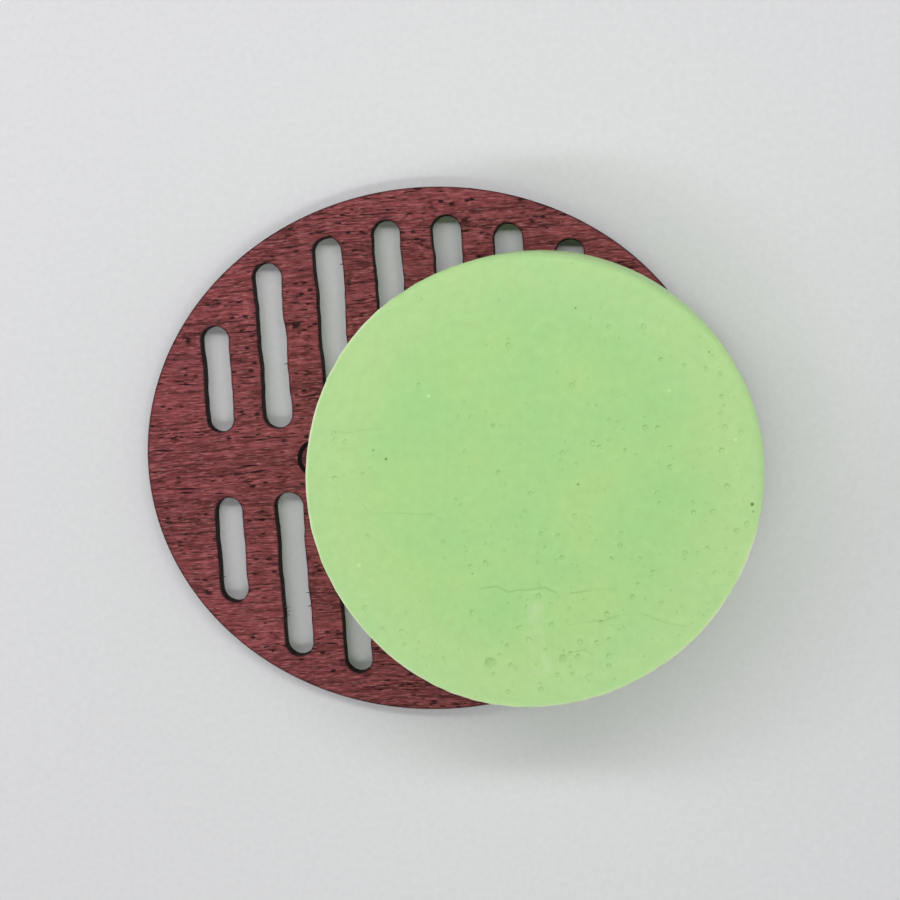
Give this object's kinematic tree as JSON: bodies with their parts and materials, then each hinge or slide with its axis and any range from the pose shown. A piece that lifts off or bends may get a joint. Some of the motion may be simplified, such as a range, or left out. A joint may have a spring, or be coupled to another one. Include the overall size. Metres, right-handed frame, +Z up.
{
  "type": "shaving soap puck on slotted dish",
  "caption": "Round puck of hard shaving soap lying loose on a flat oval wooden dish, whose rows of round-ended drain slots let water and lather run off; the puck lifts off.",
  "frame": {"origin": "middle of the dish's underside, on the plain band between the two rows of drain slots", "axes": "+X along the oval dish's long axis, towards the end that the puck overhangs; +Y along its short axis and the slots; +Z up"},
  "size_m": [0.1098, 0.0936, 0.0285],
  "materials": {
    "purpleheart": "matte",
    "green_soap": "matte"
  },
  "bodies": {
    "dish": {"slotted_dish": "purpleheart"},
    "puck": {"soap_puck": "green_soap"}
  },
  "joints": [
    {"name": "puck_lift", "type": "slide", "parent": "dish", "child": "puck", "axis": [0, 0, 1], "range_m": [0, 0.06]}
  ]
}
